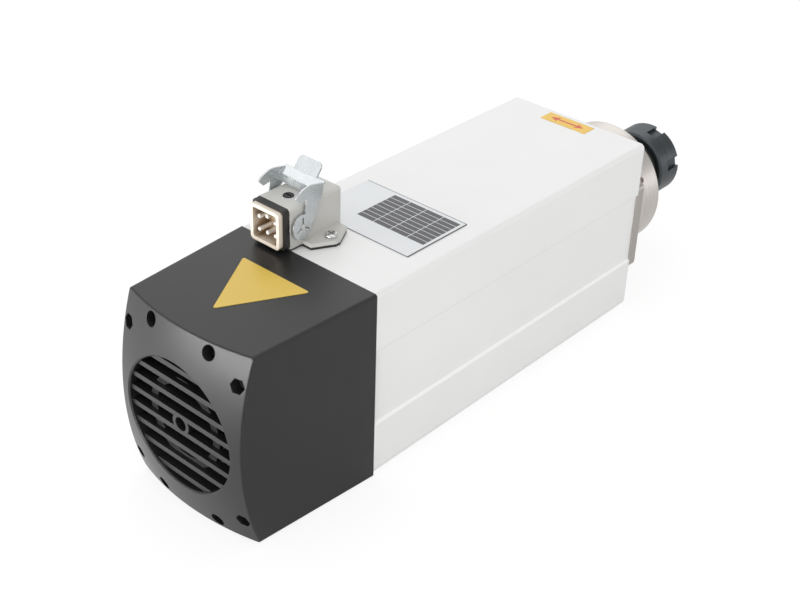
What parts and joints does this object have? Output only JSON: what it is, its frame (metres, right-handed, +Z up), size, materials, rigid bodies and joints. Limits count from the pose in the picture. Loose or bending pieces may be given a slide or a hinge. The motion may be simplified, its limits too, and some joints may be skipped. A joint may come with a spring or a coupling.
{
  "type": "air-cooled square motor spindle",
  "caption": "Air-cooled square motor spindle: white extruded frame, domed fan cover, round nose boss, collet nut and a bulkhead power connector with a locking lever.",
  "frame": {"origin": "on the spindle axis at the front face of the front plate, where the nose boss starts", "axes": "+X along the spindle axis towards the tool, +Z up through the face with the power connector"},
  "size_m": [0.4353, 0.103, 0.161],
  "materials": {
    "white_paint": "semi-gloss white powder coat",
    "charcoal_plastic": "fine-textured charcoal moulding",
    "machined_aluminium": "turned and milled, satin",
    "cast_aluminium": "die-cast, bead blasted",
    "tool_steel": "ground steel",
    "black_oxide": "black-oxide steel",
    "bearing_steel": "polished bearing steel",
    "cage_brass": "machined brass",
    "lamination_steel": "stacked laminations",
    "copper_winding": "varnished copper wire",
    "rotor_aluminium": "cast rotor cage ends",
    "fan_plastic": "black moulded fan",
    "zinc_screw": "zinc-plated",
    "black_screw": "black-oxide screws",
    "lever_steel": "zinc-plated sheet",
    "housing_grey": "grey powder-coated die casting",
    "black_rubber": "moulded rubber",
    "insert_plastic": "ivory moulding",
    "contact_silver": "silver-plated pins",
    "lead_rubber": "sleeved motor leads",
    "plate_silver": "thin plate, satin",
    "label_yellow": "printed film"
  },
  "bodies": {
    "housing": {"motor_frame": "white_paint", "front_bearing_housing": "machined_aluminium", "front_plate_screws": "black_screw", "nose_cap": "machined_aluminium", "nose_cap_screws": "black_screw", "front_bearing_outer_rings": "bearing_steel", "outer_ring_spacer": "tool_steel", "rear_bearing_outer_ring": "bearing_steel", "stator_core": "lamination_steel", "stator_windings": "copper_winding", "rear_end_shield": "cast_aluminium", "rear_end_shield_screws": "black_screw", "preload_washer": "bearing_steel", "fan_cover": "charcoal_plastic", "fan_cover_bolts": "black_screw", "connector_gasket": "black_rubber", "connector_housing": "housing_grey", "connector_flange_screws": "zinc_screw", "connector_top_screw": "black_screw", "connector_seal": "black_rubber", "connector_insert": "insert_plastic", "connector_pins": "contact_silver", "lead_bundle": "lead_rubber", "lever_pivots": "zinc_screw", "rating_plate": "plate_silver", "arrow_label": "label_yellow", "corner_label": "label_yellow"},
    "rotor": {"spindle_shaft": "tool_steel", "rotor_core": "lamination_steel", "rotor_end_rings": "rotor_aluminium", "front_bearing_inner_rings": "bearing_steel", "rear_bearing_inner_ring": "bearing_steel", "inner_ring_spacer": "tool_steel", "bearing_locknut": "tool_steel", "bearing_circlip": "tool_steel", "cooling_fan": "fan_plastic", "fan_screw": "zinc_screw"},
    "front_ball_set": {"front_bearing_balls": "bearing_steel", "front_bearing_cages": "cage_brass"},
    "rear_ball_set": {"rear_bearing_balls": "bearing_steel", "rear_bearing_cage": "cage_brass"},
    "collet": {"collet": "tool_steel"},
    "collet_nut": {"collet_nut": "black_oxide"},
    "lever": {"locking_lever": "lever_steel"}
  },
  "joints": [
    {"name": "spindle_turn", "type": "hinge", "parent": "housing", "child": "rotor", "pos_m": [0, 0, 0], "axis": [1, 0, 0], "continuous": true},
    {"name": "front_balls_roll", "type": "hinge", "parent": "housing", "child": "front_ball_set", "pos_m": [0, 0, 0], "axis": [1, 0, 0], "continuous": true},
    {"name": "rear_balls_roll", "type": "hinge", "parent": "housing", "child": "rear_ball_set", "pos_m": [0, 0, 0], "axis": [1, 0, 0], "continuous": true},
    {"name": "collet_slide", "type": "slide", "parent": "rotor", "child": "collet", "axis": [1, 0, 0], "range_m": [0, 0.0075]},
    {"name": "nut_turn", "type": "hinge", "parent": "collet", "child": "collet_nut", "pos_m": [0.078, 0, 0], "axis": [1, 0, 0], "range_deg": [0, 1800]},
    {"name": "lever_swing", "type": "hinge", "parent": "housing", "child": "lever", "pos_m": [-0.2459, 0.0235, 0.0732], "axis": [0, -1, 0], "range_deg": [0, 62]}
  ],
  "couplings": [
    {"joint": "front_balls_roll", "follows": "spindle_turn", "ratio": 0.4031},
    {"joint": "rear_balls_roll", "follows": "spindle_turn", "ratio": 0.4},
    {"joint": "nut_turn", "follows": "collet_slide", "rad_per_m": 4188.8}
  ]
}
